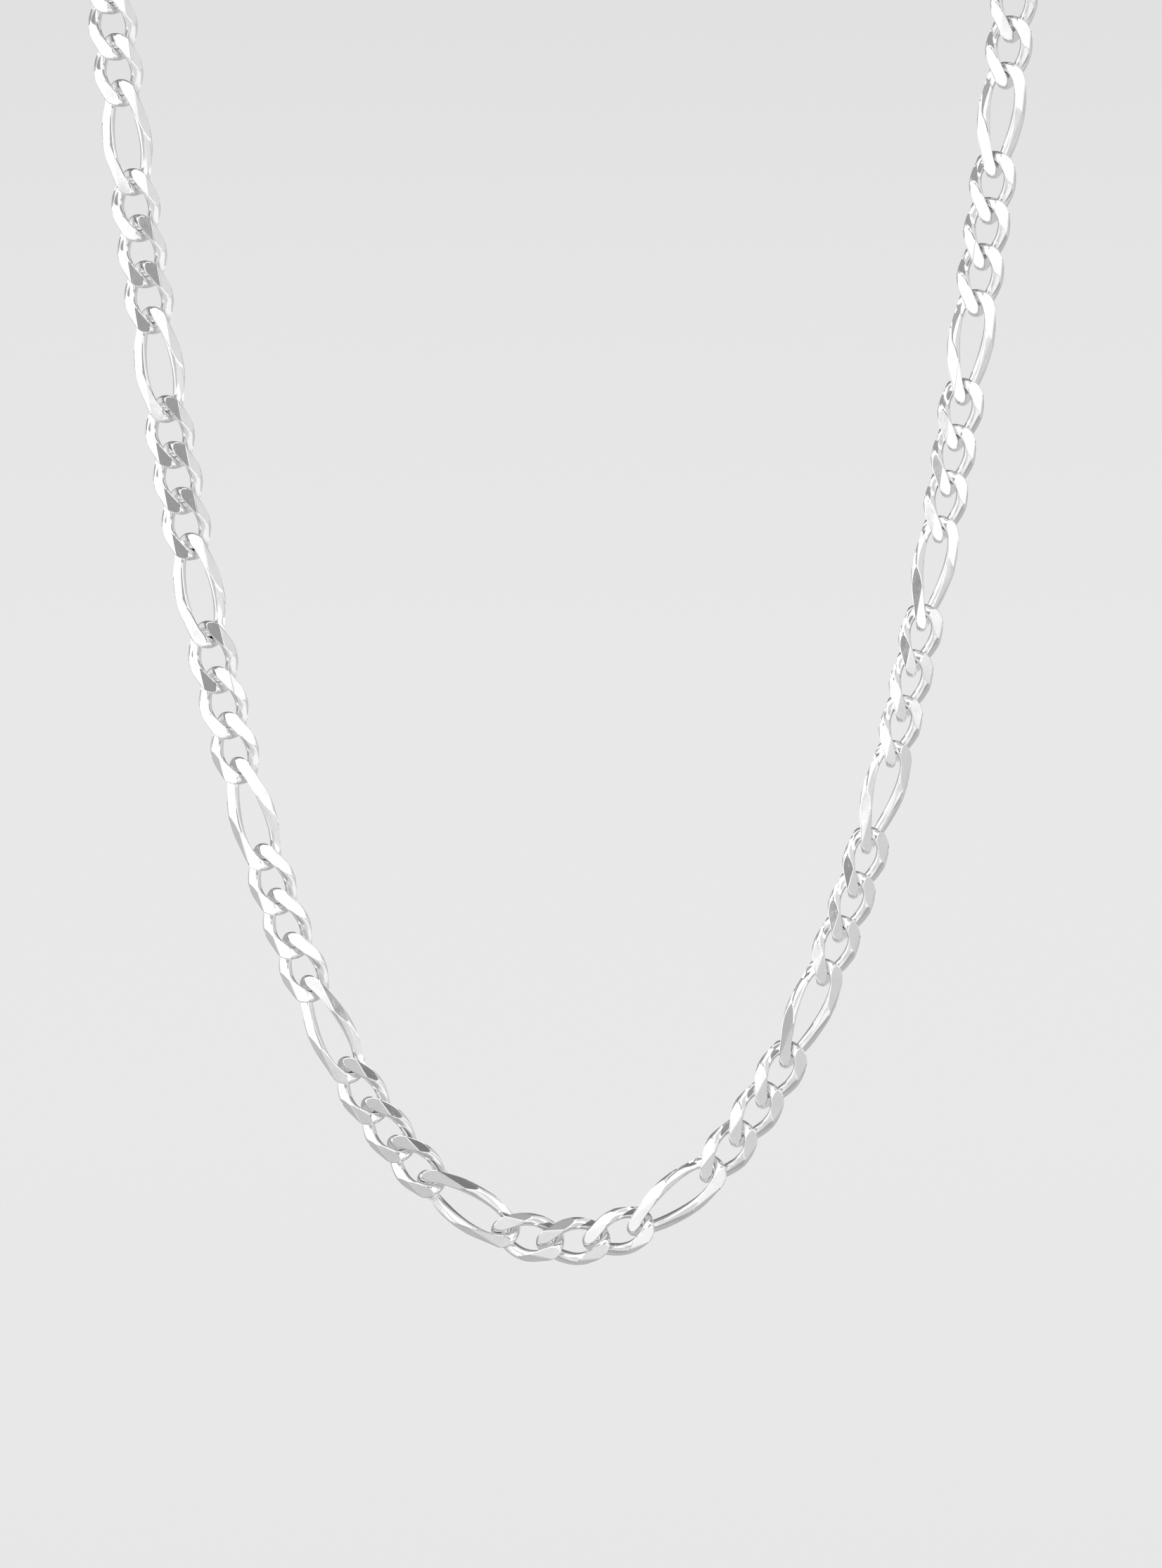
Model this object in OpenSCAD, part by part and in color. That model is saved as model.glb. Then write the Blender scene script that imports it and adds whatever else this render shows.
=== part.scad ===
// Figaro chain, worn as one closed loop: short curb links in rows, with a long link between two rows.
// Each link is an oval wire ring whose end loops are turned about the chain, so that they lock into
// the next link at a right angle. Both faces are cut flat, and the outer edges are bevelled.
// The front hangs in a catenary with x to the right and z up, and the loop closes behind it at the nape.

/* [Chain] */
// Length of the closed chain with its clasp
chain_len = 500; // [450:10:600]
// Width across a link
link_w = 4; // [3.8:0.1:4.4]
// Thickness of the links between their flat faces
link_t = 1.4; // [1.1:0.05:1.6]
// Width of the oval wire, seen on the face of a link
wire_w = 1.03; // [0.91:0.02:1.09]
// Height of the oval wire, across its width
wire_h = 0.82; // [0.76:0.02:0.86]
// Outer length of a short link
short_l = 6.05; // [5.85:0.05:6.4]
// Outer length of a long link
long_l = 9.55; // [8:0.05:11]
// How much fuller the ends of a short link are than an ellipse's
short_full = 0.34; // [0.18:0.02:0.4]
// How much fuller the ends of a long link are than an ellipse's
long_full = 0.58; // [0.44:0.02:0.62]
// Short links in a row between two long ones
short_run = 3; // [1:2:5]
// Free play where one link holds the next
link_play = 0.23; // [0.16:0.01:0.26]

/* [Cut faces] */
// Width of the flat faces across the chain, on the left side of the front
flat_left = 2.4; // [2.2:0.1:3]
// Width of the flat faces on the right side of the front, where they reach nearer to the outer edge
flat_right = 2.7; // [2.4:0.1:3.2]
// How far the wire is pressed wider towards the hole where the faces are cut
spread = 0.03; // [0:0.01:0.08]
// Slope of the bevels beside the flat face, in degrees
bevel = 34; // [20:1:40]

/* [Front drape] */
// Radius of the bend at the lowest link
bend_r = 12.7; // [12.5:0.1:18]
// Height of the free hanging front above the lowest point
drape_h = 102; // [90:1:110]
// How far the lowest link sits to the right of the lowest point
hang_shift = 0.6; // [-1.5:0.1:1.5]

/* [Loop round the neck] */
// Angle by which the sides flare out behind the front, in degrees
loop_flare = 6; // [0:1:12]
// Angle by which the sides rise towards the nape, in degrees
loop_rise = 12; // [0:1:20]
// Angle by which the sides face up on the shoulders, in degrees
shoulder_tilt = 35; // [0:5:50]

/* [Clasp] */
// Outer length of the barrel clasp over its two eyes
clasp_l = 16; // [14:0.5:20]
// Diameter of the barrel
barrel_d = 3.4; // [3:0.1:4]
// Rounding of the barrel's ends
barrel_round = 0.7; // [0.4:0.1:1]
// Thickness of an eye's wire
eye_d = 0.9; // [0.8:0.02:1]
// Width of the hole in an eye
eye_hole = 2.1; // [1.9:0.05:2.4]

/* [Hidden] */
silver = "silver";

// How far the end loops turn from the middle of a link, so that neighbours cross at about a right angle
end_turn = 48;
// Corners of the oval ring and of its wire
ring_sides = 12;
wire_sides = 6;
// How far the flat faces turn outward and down about the chain's own line: share of the front's length,
// right side positive, and the turn in degrees
turn_route = [
    [-1.4, 0], [-1, 7], [-0.5, 6], [-0.43, 20], [-0.15, 22], [-0.03, 14], [0.15, 25], [0.45, 38],
    [0.62, 34], [0.72, 25], [1, 22], [1.4, 0]
];

// How the flat faces change from the left width to the right one: share of the front's length, right side
// positive, and share of the change
flat_route = [[-1.4, 0.5], [-1, 0], [-0.4, 0], [0.2, 1], [1, 1], [1.4, 0.5]];

// Lengths between the two points where a link holds its neighbours
short_reach = short_l - 2 * wire_w - link_play;
long_reach = long_l - 2 * wire_w - link_play;
clasp_reach = clasp_l - 2 * eye_d - link_play;

// The lowest link is short and stands in the middle of its row. Each side then counts from it.
function is_long(k) = (k - (short_run - 1) / 2) % (short_run + 1) == 0;
function reach(k) = is_long(k) ? long_reach : short_reach;
function side_ends(k, from, room) = from + reach(k) > room ? [from]
    : concat([from], side_ends(k + 1, from + reach(k), room));
// Where the links of one side end, counted along the chain from the middle of the lowest link
ends = side_ends(0, short_reach / 2, (chain_len - clasp_reach) / 2);
links_side = len(ends) - 1;
half_l = ends[links_side] + clasp_reach / 2;

function unit(v) = v / norm(v);
function square_to(v, along) = unit(v - (v * along) * along);
function arc_sinh(q) = ln(q + sqrt(q * q + 1));
function in_degrees(q) = q * 180 / PI;

// The front hangs in a catenary
front_l = sqrt(drape_h * (drape_h + 2 * bend_r));
function front_at(s) = [bend_r * arc_sinh(s / bend_r), 0, norm([bend_r, s]) - bend_r];
function front_way(s) = unit([bend_r, 0, s]);

// One round bend leads from the front to the side, and one from the side to the nape
front_end = front_at(front_l);
way_front = front_way(front_l);
way_side = [
    sin(loop_flare) * cos(loop_rise), cos(loop_flare) * cos(loop_rise), sin(loop_rise)
];
way_nape = [-1, 0, 0];
turn_side = acos(way_front * way_side);
turn_nape = acos(way_side * way_nape);
// Step made by a round bend of radius 1 from one direction to the other
function bend_step(from, to) = tan(acos(from * to) / 2) * (from + to);
step_side = bend_step(way_front, way_side);
// Length of the second bend for each millimetre from the middle plane to where it starts
nape_share = turn_nape * PI / 180 / sin(turn_nape);
side_r = (half_l - front_l - front_end[0] * nape_share)
    / (turn_side * PI / 180 + step_side[0] * nape_share);
side_l = side_r * turn_side * PI / 180;
side_end = front_end + side_r * step_side;
nape_r = side_end[0] / sin(turn_nape);
nape_end = side_end + nape_r * bend_step(way_side, way_nape);

function bend_at(start, from, to, r, d) = let (g = in_degrees(d / r))
    start + r * (sin(g) * from + (1 - cos(g)) * square_to(to, from));
function bend_way(from, to, r, d) = let (g = in_degrees(d / r))
    cos(g) * from + sin(g) * square_to(to, from);

// Directions that the flat face looks in: at the front, on the shoulders and at the nape
face_front = [0, -1, 0];
face_side = [cos(shoulder_tilt), 0, sin(shoulder_tilt)];
face_nape = [0, 1, 0];
function between(a, b, share) = cos(90 * share) * a + sin(90 * share) * b;

// Place, direction and face of the chain at a distance from the lowest point, on the right side
function half_route(s) = let (d = s - front_l, e = d - side_l)
    d < 0 ? [front_at(s), front_way(s), face_front]
    : e < 0 ? [
        bend_at(front_end, way_front, way_side, side_r, d),
        bend_way(way_front, way_side, side_r, d),
        between(face_front, face_side, d / side_l)
    ]
    : [
        bend_at(side_end, way_side, way_nape, nape_r, e),
        bend_way(way_side, way_nape, nape_r, e),
        between(face_side, face_nape, e / (half_l - front_l - side_l))
    ];
function flip(v, side) = [side * v[0], v[1], v[2]];
// The same for the whole loop, where the left side counts backwards
function route(s) = let (
        w = s > half_l ? s - 2 * half_l : (s < -half_l ? s + 2 * half_l : s),
        side = w < 0 ? -1 : 1,
        h = half_route(abs(w))
    ) [flip(h[0], side), side * flip(h[1], side), flip(h[2], side)];

// The point at the nape where the neck carries the chain, which is the origin of the part
origin = nape_end - [0, barrel_d / 2, 0];

// Middle, direction, side and face of a link held between two points of the route
function seat(from, to) = let (
        a = route(from)[0],
        b = route(to)[0],
        m = (from + to) / 2,
        along = unit(b - a),
        face = square_to(route(m)[2], along),
        turn = lookup(m / front_l, turn_route),
        out = cos(turn) * face - sign(to - from) * sin(turn) * cross(face, along)
    ) [(a + b) / 2 - origin, along, cross(out, along), out];
function placed(p, s) = s[0] + p[0] * s[1] + p[1] * s[2] + p[2] * s[3];

// Width of the flat faces of the link between two points of the route
function flat_at(from, to) = flat_left
    + (flat_right - flat_left) * lookup((from + to) / 2 / front_l, flat_route);
// A point of a link, pressed in to the flat faces and the bevels, which start at half of the left width
// on one edge and at what is left of the link's own width on the other
function cut(p, flat_w) = let (
        beyond = max(0, p[1] - flat_left / 2, flat_left / 2 - flat_w - p[1]),
        room = link_t / 2 - beyond * tan(bevel)
    ) [p[0], p[1], min(max(p[2], -room), room)];

// Middle line of a link at an angle round its oval, in its own place: along the chain, across it, and
// out of its face
function oval(a, b, full, q) = let (
        across = b * sin(q) * (1 + full * pow(cos(q), 2)),
        turn = end_turn * cos(q)
    ) [a * cos(q), across * cos(turn), -across * sin(turn)];
// Direction of that line, from the slope of each of its parts
function oval_way(a, b, full, q) = let (
        across = b * sin(q) * (1 + full * pow(cos(q), 2)),
        slope = b * cos(q) * (1 + full * pow(cos(q), 2) - 2 * full * pow(sin(q), 2)),
        turn = end_turn * cos(q),
        spin = -end_turn * sin(q) * PI / 180
    ) unit([
        -a * sin(q),
        slope * cos(turn) - across * spin * sin(turn),
        -slope * sin(turn) - across * spin * cos(turn)
    ]);

// Corners of a link in its own place, before its faces are cut
function link_points(outer_l, full) = let (
        a = (outer_l - wire_w) / 2,
        b = (link_w - wire_w) / 2
    ) [
        for (i = [0 : ring_sides - 1])
            let (
                q = 360 * i / ring_sides,
                turn = end_turn * cos(q),
                slope = b * cos(q) * (1 + full * pow(cos(q), 2) - 2 * full * pow(sin(q), 2)),
                way = oval_way(a, b, full, q),
                outward = square_to([slope, a * sin(q) * cos(turn), -a * sin(q) * sin(turn)], way),
                aside = cross(outward, way)
            )
            for (j = [0 : wire_sides - 1])
                let (w = 360 * j / wire_sides)
                oval(a, b, full, q)
                    + (wire_w / 2 * cos(w) - spread * pow(sin(2 * q), 2) * (1 - cos(w)) / 2) * outward
                    + wire_h / 2 * sin(w) * aside
    ];
short_points = link_points(short_l, short_full);
long_points = link_points(long_l, long_full);

// Two triangles for each four corners of a ring, for the links numbered from 0
function ring_faces(count) = [
    for (n = [0 : count - 1])
        for (i = [0 : ring_sides - 1])
            for (j = [0 : wire_sides - 1])
                let (
                    base = n * ring_sides * wire_sides,
                    i2 = (i + 1) % ring_sides,
                    j2 = (j + 1) % wire_sides,
                    p = base + i * wire_sides + j,
                    q = base + i2 * wire_sides + j,
                    r = base + i2 * wire_sides + j2,
                    t = base + i * wire_sides + j2
                )
                each [[p, r, q], [p, t, r]]
];

// Corners of a cut link between two points of the route
function link_between(points, from, to) = let (s = seat(from, to), flat_w = flat_at(from, to))
    [for (p = points) placed(cut(p, flat_w), s)];
// Corners of the links of one side: 1 for the right side and -1 for the left
function side_points(side) = [
    for (k = [0 : links_side - 1])
        each link_between(
            is_long(k) ? long_points : short_points,
            hang_shift + side * ends[k],
            hang_shift + side * ends[k + 1]
        )
];
lowest_points = link_between(short_points, hang_shift - short_reach / 2, hang_shift + short_reach / 2);

module chain_left() {
    color(silver)
        polyhedron(concat(lowest_points, side_points(-1)), ring_faces(links_side + 1));
}

module chain_right() {
    color(silver)
        polyhedron(side_points(1), ring_faces(links_side));
}

// The eye at one end of the clasp crosses the loop of the link that it holds at a right angle
module eye(side) {
    ring_r = (eye_hole + eye_d) / 2;
    translate([side * (clasp_l / 2 - ring_r - eye_d / 2), 0, 0])
        rotate([-side * end_turn, 0, 0])
            rotate_extrude($fn = 48)
                translate([ring_r, 0])
                    circle(d = eye_d, $fn = 24);
}

// The barrel lies between the two eyes and sinks into the near side of each
module barrel() {
    length = clasp_l - 2 * (eye_hole + 1.5 * eye_d);
    rotate([0, 90, 0])
        rotate_extrude($fn = 48) {
            translate([0, -length / 2])
                square([barrel_d / 2 - barrel_round, length]);
            translate([0, barrel_round - length / 2])
                square([barrel_d / 2, length - 2 * barrel_round]);
            for (end = [-1, 1])
                translate([barrel_d / 2 - barrel_round, end * (length / 2 - barrel_round)])
                    circle(r = barrel_round, $fn = 32);
        }
}

module clasp() {
    s = seat(hang_shift + half_l - clasp_reach / 2, hang_shift - half_l + clasp_reach / 2 + 2 * half_l);
    color(silver)
        multmatrix([
            [s[1][0], s[2][0], s[3][0], s[0][0]],
            [s[1][1], s[2][1], s[3][1], s[0][1]],
            [s[1][2], s[2][2], s[3][2], s[0][2]]
        ])
            union() {
                eye(-1);
                eye(1);
                barrel();
            }
}

chain_left();
chain_right();
clasp();
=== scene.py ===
import math

import bmesh
import bpy
import numpy as np
from mathutils import Matrix, Vector


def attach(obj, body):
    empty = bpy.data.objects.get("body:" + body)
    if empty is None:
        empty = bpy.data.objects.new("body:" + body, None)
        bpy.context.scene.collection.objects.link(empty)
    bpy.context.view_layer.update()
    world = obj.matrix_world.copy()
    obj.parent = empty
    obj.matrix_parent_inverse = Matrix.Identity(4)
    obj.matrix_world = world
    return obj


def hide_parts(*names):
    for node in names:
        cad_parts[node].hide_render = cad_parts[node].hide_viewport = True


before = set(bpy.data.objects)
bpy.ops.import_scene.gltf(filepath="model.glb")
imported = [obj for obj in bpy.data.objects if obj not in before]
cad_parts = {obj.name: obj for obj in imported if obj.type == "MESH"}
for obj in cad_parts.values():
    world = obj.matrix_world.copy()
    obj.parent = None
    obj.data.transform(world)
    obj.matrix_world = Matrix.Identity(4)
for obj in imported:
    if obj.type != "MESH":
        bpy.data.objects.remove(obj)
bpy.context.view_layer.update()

# Sizes of the chain in millimetres, with the names of the part's source
chain_len = 500
link_w, link_t = 4.0, 1.4
wire_w, wire_h = 1.03, 0.82
short_l, long_l = 6.05, 9.55
short_full, long_full = 0.34, 0.58
short_run = 3
link_play = 0.23
flat_left, flat_right, bevel = 2.4, 2.7, math.radians(34)
bend_r, drape_h, hang_shift = 12.7, 102, 0.6
loop_flare, loop_rise = math.radians(6), math.radians(12)
shoulder_tilt = math.radians(35)
clasp_l, barrel_d, barrel_round = 16, 3.4, 0.7
eye_d, eye_hole = 0.9, 2.1
end_turn = math.radians(48)
# Turn of the flat faces about the chain's own line, in degrees, by the share of the front's half length.
# Shares under 0 are on the left as the viewer sees it, and 1 is the end of the front
turn_route = [
    (-1.4, 0), (-1, 7), (-0.5, 6), (-0.43, 20), (-0.15, 22), (-0.03, 14), (0.15, 25), (0.45, 38),
    (0.62, 34), (0.72, 25), (1, 22), (1.4, 0)
]
# Share of the step from flat_left to flat_right, by the same share of the front
flat_route = [(-1.4, 0.5), (-1, 0), (-0.4, 0), (0.2, 1), (1, 1), (1.4, 0.5)]
# Spread of the links' small random tips in degrees, their seed, and the further lean of one long link on the
# left, given by its piece and its place in that piece
tip_spread, tip_seed = 0.8, 174420
own_lean = {("links_left", 14): 2.4}
# Shift of the grain from link to link, in millimetres either way
grain_shift = 50
MM = 0.001

short_reach = short_l - 2 * wire_w - link_play
long_reach = long_l - 2 * wire_w - link_play
clasp_reach = clasp_l - 2 * eye_d - link_play


# The route of the chain's middle line
def is_long(k):
    return (k - (short_run - 1) / 2) % (short_run + 1) == 0


ends = [short_reach / 2]
while True:
    reach = long_reach if is_long(len(ends) - 1) else short_reach
    if ends[-1] + reach > (chain_len - clasp_reach) / 2:
        break
    ends.append(ends[-1] + reach)
links_side = len(ends) - 1
half_l = ends[-1] + clasp_reach / 2


def unit(v):
    return v / np.linalg.norm(v)


def square_to(v, along):
    return unit(v - (v @ along) * along)


def vec(*v):
    return np.array(v, float)


def front_at(s):
    return vec(bend_r * math.asinh(s / bend_r), 0, math.hypot(bend_r, s) - bend_r)


def front_way(s):
    return unit(vec(bend_r, 0, s))


def bend_step(a, b):
    return math.tan(math.acos(a @ b) / 2) * (a + b)


front_l = math.sqrt(drape_h * (drape_h + 2 * bend_r))
front_end, way_front = front_at(front_l), front_way(front_l)
way_side = vec(
    math.sin(loop_flare) * math.cos(loop_rise),
    math.cos(loop_flare) * math.cos(loop_rise),
    math.sin(loop_rise),
)
way_nape = vec(-1, 0, 0)
turn_side, turn_nape = math.acos(way_front @ way_side), math.acos(way_side @ way_nape)
step_side = bend_step(way_front, way_side)
nape_share = turn_nape / math.sin(turn_nape)
side_r = (half_l - front_l - front_end[0] * nape_share) / (turn_side + step_side[0] * nape_share)
side_l = side_r * turn_side
side_end = front_end + side_r * step_side
nape_r = side_end[0] / math.sin(turn_nape)
nape_end = side_end + nape_r * bend_step(way_side, way_nape)
origin = nape_end - vec(0, barrel_d / 2, 0)
face_front, face_nape = vec(0, -1, 0), vec(0, 1, 0)
face_side = vec(math.cos(shoulder_tilt), 0, math.sin(shoulder_tilt))


def bend(start, a, b, r, d):
    g, aside = d / r, square_to(b, a)
    at = start + r * (math.sin(g) * a + (1 - math.cos(g)) * aside)
    return at, math.cos(g) * a + math.sin(g) * aside


def between(a, b, share):
    return math.cos(math.pi / 2 * share) * a + math.sin(math.pi / 2 * share) * b


def half_route(s):
    d = s - front_l
    e = d - side_l
    if d < 0:
        return front_at(s), front_way(s), face_front
    if e < 0:
        at, way = bend(front_end, way_front, way_side, side_r, d)
        return at, way, between(face_front, face_side, d / side_l)
    at, way = bend(side_end, way_side, way_nape, nape_r, e)
    return at, way, between(face_side, face_nape, e / (half_l - front_l - side_l))


def route(s):
    w = (s + half_l) % (2 * half_l) - half_l
    side = -1 if w < 0 else 1
    mirror = vec(side, 1, 1)
    at, way, face = half_route(abs(w))
    return mirror * at, side * mirror * way, mirror * face


# Place of a link held between two points of the route
def seat(start, end):
    a, b, m = route(start)[0], route(end)[0], (start + end) / 2
    along = unit(b - a)
    face = square_to(route(m)[2], along)
    shares, turns = zip(*turn_route)
    turn = math.radians(np.interp(m / front_l, shares, turns))
    side = 1 if end > start else -1
    out = math.cos(turn) * face - side * math.sin(turn) * np.cross(face, along)
    place = Matrix.Identity(4)
    for column, v in enumerate((along, np.cross(out, along), out)):
        place.col[column] = (*(MM * v), 0)
    place.col[3] = (*(MM * ((a + b) / 2 - origin)), 1)
    return place


# An object of the scene, a mesh from a bmesh, and a smooth skin over rings of points
def show(name, data):
    made = bpy.data.objects.new(name, data)
    bpy.context.scene.collection.objects.link(made)
    return made


def as_mesh(name, bm):
    mesh = bpy.data.meshes.new(name)
    bm.to_mesh(mesh)
    bm.free()
    return mesh


def skin(bm, rings, closed=True):
    rows = [[bm.verts.new(p) for p in ring] for ring in rings]
    for one, two in zip(rows, rows[1:] + rows[:1] if closed else rows[1:]):
        for j in range(len(one)):
            k = (j + 1) % len(one)
            bm.faces.new((one[j], one[k], two[k], two[j])).smooth = True
    return rows


# Middle line of a link, which end_turn twists about the chain's line, and a squarer round for the wire
def oval(a, b, full, q):
    across, turn = b * np.sin(q) * (1 + full * np.cos(q) ** 2), end_turn * np.cos(q)
    return np.stack([a * np.cos(q), across * np.cos(turn), -across * np.sin(turn)], -1)


def squarer(share, power=1.35):
    return np.sign(share) * np.abs(share) ** (1 / power)


def link_mesh(name, long_link, flat_w, wire_sides=24, rim=0.06, drop=0.02, flat_full=0.1, q_step=1e-4):
    outer_l, full, ring_sides = (long_l, long_full, 96) if long_link else (short_l, short_full, 64)
    a, b = (outer_l - wire_w) / 2, (link_w - wire_w) / 2
    q = np.linspace(0, 2 * np.pi, ring_sides, endpoint=False)
    way = oval(a, b, full, q + q_step) - oval(a, b, full, q - q_step)
    way /= np.linalg.norm(way, axis=1)[:, None]
    slope = b * np.cos(q) * (1 + full * np.cos(q) ** 2 - 2 * full * np.sin(q) ** 2)
    turn = end_turn * np.cos(q)
    side = a * np.sin(q)
    outward = np.stack([slope, side * np.cos(turn), -side * np.sin(turn)], 1)
    outward -= (outward * way).sum(1)[:, None] * way
    outward /= np.linalg.norm(outward, axis=1)[:, None]
    aside = np.cross(outward, way)
    w = np.linspace(0, 2 * np.pi, wire_sides, endpoint=False)
    fuller = (flat_full * np.sin(2 * q) ** 2)[:, None] * (1 - np.cos(w)) / 2
    radial, high = wire_w / 2 * squarer(np.cos(w)) - fuller, wire_h / 2 * squarer(np.sin(w))
    middle = oval(a, b, full, q)[:, None]
    bm = bmesh.new()
    skin(bm, middle + radial[..., None] * outward[:, None] + high[:, None] * aside[:, None])

    def plane_cut(point, normal):
        geom = bm.verts[:] + bm.edges[:] + bm.faces[:]
        made = bmesh.ops.bisect_plane(
            bm, geom=geom, plane_co=point, plane_no=normal, clear_outer=True, dist=1e-5
        )["geom_cut"]
        lines = [e for e in made if isinstance(e, bmesh.types.BMEdge)]
        for f in bmesh.ops.holes_fill(bm, edges=lines, sides=0)["faces"] if lines else []:
            f.smooth = False

    for up in (1, -1):
        plane_cut((0, 0, up * link_t / 2), (0, 0, up))
    for out, flat in ((1, flat_left / 2), (-1, flat_w - flat_left / 2)):
        for up in (1, -1):
            normal = (0, out * math.sin(bevel), up * math.cos(bevel))
            plane_cut((0, out * flat, up * link_t / 2), normal)
    edges = {e for f in bm.faces if not f.smooth for e in f.edges}
    bmesh.ops.dissolve_degenerate(bm, dist=0.02, edges=list(edges))
    bmesh.ops.recalc_face_normals(bm, faces=bm.faces)
    flats = [f for f in bm.faces if not f.smooth]
    normals = {
        v: [f.normal.copy() for f in v.link_faces if not f.smooth]
        for f in flats for v in f.verts
    }
    bmesh.ops.inset_individual(bm, faces=flats, thickness=rim, depth=0, use_even_offset=False)
    for v, ways in normals.items():
        both = sum(ways, Vector())
        v.co -= drop * both / max(1, both.dot(ways[0]))
    for f in bm.faces:
        if not f.smooth:
            for e in f.edges:
                e.smooth = False
    return as_mesh(name, bm)


# The place of each point in its own link, which the silver's marks follow
def own_grain(mesh, shift=(0, 0, 0)):
    count = len(mesh.vertices)
    local = np.zeros(count * 3, np.float32)
    mesh.vertices.foreach_get("co", local)
    local = (local.reshape(-1, 3) + np.array(shift)).astype(np.float32)
    mesh.attributes.new("grain", "FLOAT_VECTOR", "POINT").data.foreach_set("vector", local.ravel())


# Links as one piece, each between two points of the route and with small tips of its own
rng = np.random.default_rng(tip_seed)


def join_links(name, spans):
    made = []
    shares, steps = zip(*flat_route)
    for long_link, start, end in spans:
        step = np.interp((start + end) / 2 / front_l, shares, steps)
        own = link_mesh(name, long_link, flat_left + (flat_right - flat_left) * step)
        own_grain(own, rng.uniform(-grain_shift, grain_shift, 3))
        turn, tip = rng.normal(0, tip_spread, 2)
        tip += own_lean.get((name, len(made)), 0)
        tips = Matrix.Rotation(math.radians(turn), 4, "X") @ Matrix.Rotation(math.radians(tip), 4, "Y")
        own.transform(tips)
        own.transform(seat(start, end))
        made.append(show(name, own))
    with bpy.context.temp_override(active_object=made[0], selected_editable_objects=made):
        bpy.ops.object.join()
    return made[0]


def side_spans(side):
    return [
        (is_long(k), hang_shift + side * ends[k], hang_shift + side * ends[k + 1])
        for k in range(links_side)
    ]


lowest = (False, hang_shift - short_reach / 2, hang_shift + short_reach / 2)
left = join_links("links_left", [lowest] + side_spans(-1))
right = join_links("links_right", side_spans(1))


# Barrel clasp with an eye at each end, and a fine seam round the middle of the barrel
def clasp_mesh(name, sides=96, seam=0.09, eye_sides=72, wire_sides=32):
    bm = bmesh.new()
    length = clasp_l - 2 * (eye_hole + 1.5 * eye_d)
    core, half = barrel_d / 2 - barrel_round, length / 2
    quarter = [
        (half - barrel_round + barrel_round * math.cos(g), core + barrel_round * math.sin(g))
        for g in np.linspace(0, math.pi / 2, 10)
    ]
    steps = [(half, 0.01), (half, core / 2)] + quarter
    steps += [(half * 0.5, barrel_d / 2), (seam, barrel_d / 2), (seam * 0.6, barrel_d / 2 - seam * 0.3)]
    steps += [(seam * 0.3, barrel_d / 2 - seam * 0.9)]
    profile = steps + [(-x, r) for x, r in reversed(steps)]
    around = np.linspace(0, 2 * math.pi, sides, endpoint=False)
    discs = [[(x, r * math.cos(w), r * math.sin(w)) for w in around] for x, r in profile]
    rows = skin(bm, discs, closed=False)
    bm.faces.new(rows[0])
    bm.faces.new(reversed(rows[-1]))
    ring_r, wire_r = (eye_hole + eye_d) / 2, eye_d / 2
    for side in (-1, 1):
        turn = Matrix.Translation((side * (clasp_l / 2 - ring_r - wire_r), 0, 0))
        turn = turn @ Matrix.Rotation(-side * end_turn, 4, "X")
        rings = []
        for q in np.linspace(0, 2 * math.pi, eye_sides, endpoint=False):
            ring = []
            for w in np.linspace(0, 2 * math.pi, wire_sides, endpoint=False):
                out = ring_r + wire_r * math.cos(w)
                ring.append(turn @ Vector((out * math.cos(q), out * math.sin(q), wire_r * math.sin(w))))
            rings.append(ring)
        skin(bm, rings)
    bmesh.ops.recalc_face_normals(bm, faces=bm.faces)
    mesh = as_mesh(name, bm)
    own_grain(mesh)
    mesh.transform(seat(hang_shift + half_l - clasp_reach / 2, hang_shift + half_l + clasp_reach / 2))
    return mesh


barrel = show("barrel_clasp", clasp_mesh("barrel_clasp"))


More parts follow.
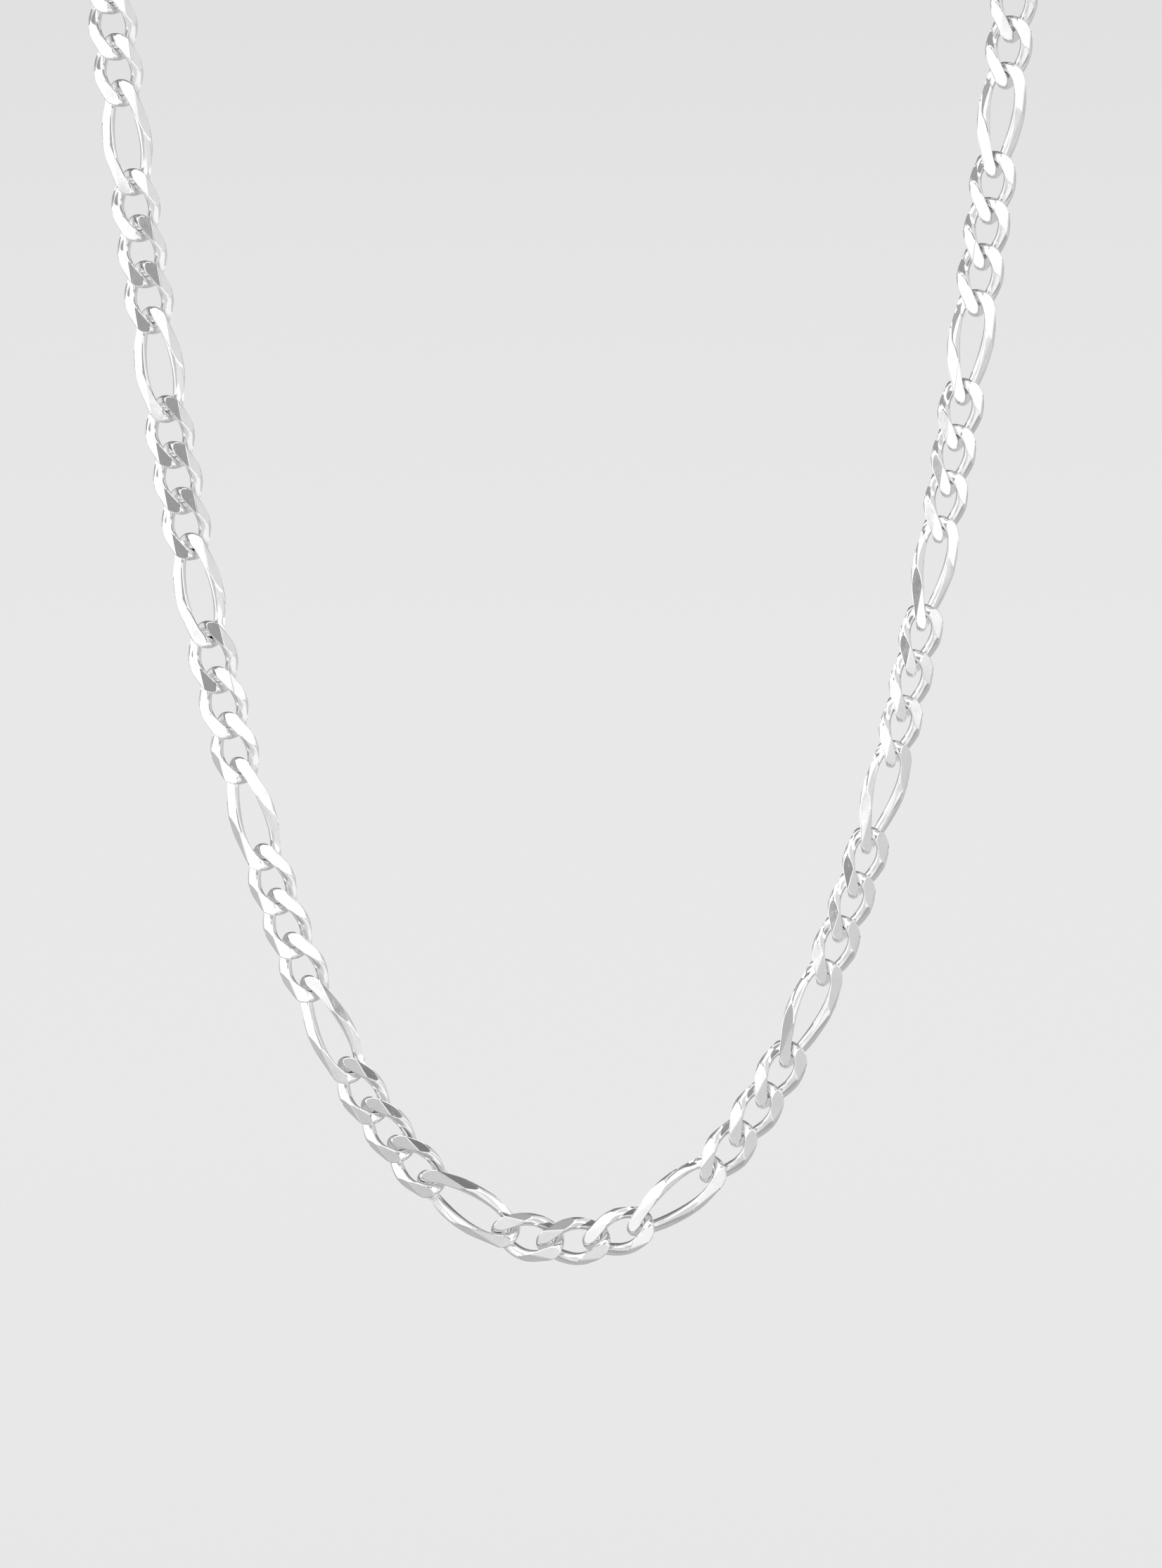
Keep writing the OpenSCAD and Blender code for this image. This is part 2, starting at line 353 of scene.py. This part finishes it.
# Polished silver with drawn marks along each link, faint cloudy wear and a few small nicks
def silver(name, tint, gloss, marks):
    made = bpy.data.materials.new(name)
    made.use_nodes = True
    tree = made.node_tree
    shader = tree.nodes["Principled BSDF"]
    shader.inputs["Metallic"].default_value = 1.0

    def node(kind, inputs=(), **settings):
        one = tree.nodes.new("ShaderNode" + kind)
        for key, value in settings.items():
            setattr(one, key, value)
        for key, value in dict(inputs).items():
            if isinstance(value, bpy.types.NodeSocket):
                tree.links.new(value, one.inputs[key])
            else:
                one.inputs[key].default_value = value
        return one

    def ramp(value, low, high, start, end):
        return node("MapRange", {"Value": value, 1: low, 2: high, 3: start, 4: end}, clamp=True).outputs[0]

    def noise(scale, stretch, detail):
        spot = node("Mapping", {"Vector": grain, "Scale": stretch})
        grains = {"Vector": spot.outputs[0], "Scale": scale, "Detail": detail, "Roughness": 0.6}
        return node("TexNoise", grains).outputs[0]

    grain = node("Attribute", attribute_name="grain").outputs["Vector"]
    cloud = noise(0.9, (1, 1, 1), 4)
    drawn = noise(5.0, (0.25, 2.2, 2.2), 3)
    nick = noise(3.4, (1.4, 1, 1), 2)
    scratch = ramp(drawn, 0.6, 0.74, 0, 1)
    dent = ramp(nick, 0.68, 0.76, 0, 1)
    wear = node("Math", {0: scratch, 1: dent}, operation="MAXIMUM").outputs[0]
    worn = {0: ramp(cloud, 0.3, 0.75, gloss, gloss * 2.2), 1: ramp(wear, 0, 1, 0, 0.1)}
    rough = node("Math", worn, operation="ADD")
    tree.links.new(rough.outputs[0], shader.inputs["Roughness"])
    paint = node("Mix", {"Factor": ramp(cloud, 0.3, 0.7, 0, 1)}, data_type="RGBA")
    paint.inputs[6].default_value = (tint, tint, tint, 1)
    paint.inputs[7].default_value = (tint * 0.93, tint * 0.93, tint * 0.925, 1)
    tree.links.new(paint.outputs[2], shader.inputs["Base Color"])
    relief = {0: ramp(drawn, 0.3, 0.8, 0, 1), 1: ramp(nick, 0.55, 0.8, 0, -1.5)}
    height = node("Math", relief, operation="ADD")
    bump = node("Bump", {"Height": height.outputs[0], "Strength": marks, "Distance": 0.00002})
    tree.links.new(bump.outputs[0], shader.inputs["Normal"])
    return made


chain_silver = silver("chain_silver", 0.97, 0.05, 0.009)
clasp_silver = silver("clasp_silver", 0.95, 0.07, 0.02)
for piece, cad, slot, paint in (
    (left, "chain_left", "chain_silver", chain_silver),
    (right, "chain_right", "chain_silver", chain_silver),
    (barrel, "clasp", "clasp_silver", clasp_silver),
):
    piece.data.materials.clear()
    piece.data.materials.append(paint)
    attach(piece, "root")
    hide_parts(cad)

# Camera at the photo's viewing angle: level with the drape, straight ahead, with a long lens
front_y = MM * -(origin[1])
low_z = MM * -(origin[2])
view_h, view_x, view_z = 0.12677, 0.00133, low_z + 0.0371
distance = 1.0
lean = 0.003
camera = show("camera", bpy.data.cameras.new("camera"))
camera.data.sensor_width = 36
camera.data.lens = 36 * distance / view_h
camera.data.clip_end = 20
camera.matrix_world = Matrix((
    (math.cos(lean), math.sin(lean), 0, view_x),
    (0, 0, -1, front_y - distance),
    (-math.sin(lean), math.cos(lean), 0, view_z),
    (0, 0, 0, 1),
))
bpy.context.scene.camera = camera

# Plain pale floor, and a soft plain light all round
bm = bmesh.new()
bmesh.ops.create_circle(bm, cap_ends=True, radius=6.0, segments=96)
floor = show("floor", as_mesh("floor", bm))
floor.location.z = -0.9
pale = bpy.data.materials.new("floor")
pale.use_nodes = True
pale.node_tree.nodes["Principled BSDF"].inputs["Base Color"].default_value = (0.85, 0.85, 0.85, 1)
pale.node_tree.nodes["Principled BSDF"].inputs["Roughness"].default_value = 0.9
floor.data.materials.append(pale)

world = bpy.data.worlds.new("studio")
bpy.context.scene.world = world
world.use_nodes = True
tree = world.node_tree
height = tree.nodes.new("ShaderNodeSeparateXYZ")
shade = tree.nodes.new("ShaderNodeValToRGB")
share = tree.nodes.new("ShaderNodeMapRange")
share.inputs[1].default_value, share.inputs[2].default_value = -0.07, 0.07
tree.links.new(tree.nodes.new("ShaderNodeTexCoord").outputs["Generated"], height.inputs[0])
tree.links.new(height.outputs["Z"], share.inputs[0])
tree.links.new(share.outputs[0], shade.inputs[0])
tree.links.new(shade.outputs[0], tree.nodes["Background"].inputs["Color"])
for place, tone in ((0, 0.80), (0.3, 0.811), (0.55, 0.808), (0.79, 0.783), (0.96, 0.75)):
    stops = shade.color_ramp.elements
    stop = stops.new(place) if 0 < place < 0.9 else stops[-(place > 0.5)]
    stop.position, stop.color = place, (tone, tone, tone, 1)


# A plain glowing card round the front of the chain, unseen by the camera, with its angles in degrees
def card(name, azimuth, elevation, reach, size, radiance):
    mesh = bpy.data.meshes.new(name)
    x, y = size[0] / 2, size[1] / 2
    mesh.from_pydata([(-x, -y, 0), (x, -y, 0), (x, y, 0), (-x, y, 0)], [], [(0, 1, 2, 3)])
    made = show(name, mesh)
    a, e = math.radians(azimuth), math.radians(elevation)
    away = Vector((math.sin(a) * math.cos(e), -math.cos(a) * math.cos(e), math.sin(e)))
    made.location = Vector((0, front_y, view_z)) + reach * away
    made.rotation_euler = (-away).to_track_quat("Z", "Y").to_euler()
    paint = bpy.data.materials.new(name)
    paint.use_nodes = True
    tree = paint.node_tree
    tree.nodes.clear()
    glow = tree.nodes.new("ShaderNodeEmission")
    glow.inputs["Color"].default_value = (1, 1, 1, 1)
    glow.inputs["Strength"].default_value = radiance
    tree.links.new(glow.outputs[0], tree.nodes.new("ShaderNodeOutputMaterial").inputs[0])
    mesh.materials.append(paint)
    made.visible_camera = False


# Soft white panels in front and at the left, and grey ones where the silver shows darker facets
card("panel_front", -4, 16, 1.6, (3.6, 4.4), 1.15)
card("panel_left", -80, 4, 1.4, (1.2, 2.0), 1.35)
card("panel_low", 29, -44, 0.7, (0.54, 0.2), 0.97)
card("panel_right", 62, -4, 1.0, (0.7, 0.29), 1.1)
card("card_low_left", -32, -25, 1.1, (0.56, 0.28), 0.6)
card("card_far_left", -113, -20, 1.1, (0.5, 0.4), 0.55)
card("card_low_right", 66, -22, 0.95, (0.62, 0.35), 0.66)
card("card_up", 9, 35, 1.0, (0.54, 0.28), 0.42)
card("card_bevels", 20, 17.9, 1.05, (0.165, 0.33), 0.2)
card("card_camera", 3.5, -0.28, 1.15, (0.205, 0.108), 0.3)
card("card_mid", -5.1, 3.9, 1.1, (0.173, 0.09), 0.46)
card("card_dark", -15, -5.3, 1.15, (0.26, 0.345), 0.33)
card("card_top", 0, 74, 0.9, (1.6, 0.6), 0.35)
card("card_up_left", -112, 40, 1.1, (0.8, 0.7), 0.35)
card("card_below", 0, -74, 0.5, (1.2, 0.23), 0.42)
card("card_behind_right", 130, 0, 0.7, (0.8, 1.2), 0.58)
card("card_behind_left", -150, 0, 0.7, (0.5, 1.2), 0.4)
card("card_behind_top", 180, 60, 0.6, (1.2, 0.7), 0.2)
card("card_behind_low", 180, -60, 0.42, (1.2, 0.5), 0.5)
bpy.context.scene.view_settings.view_transform = "Standard"
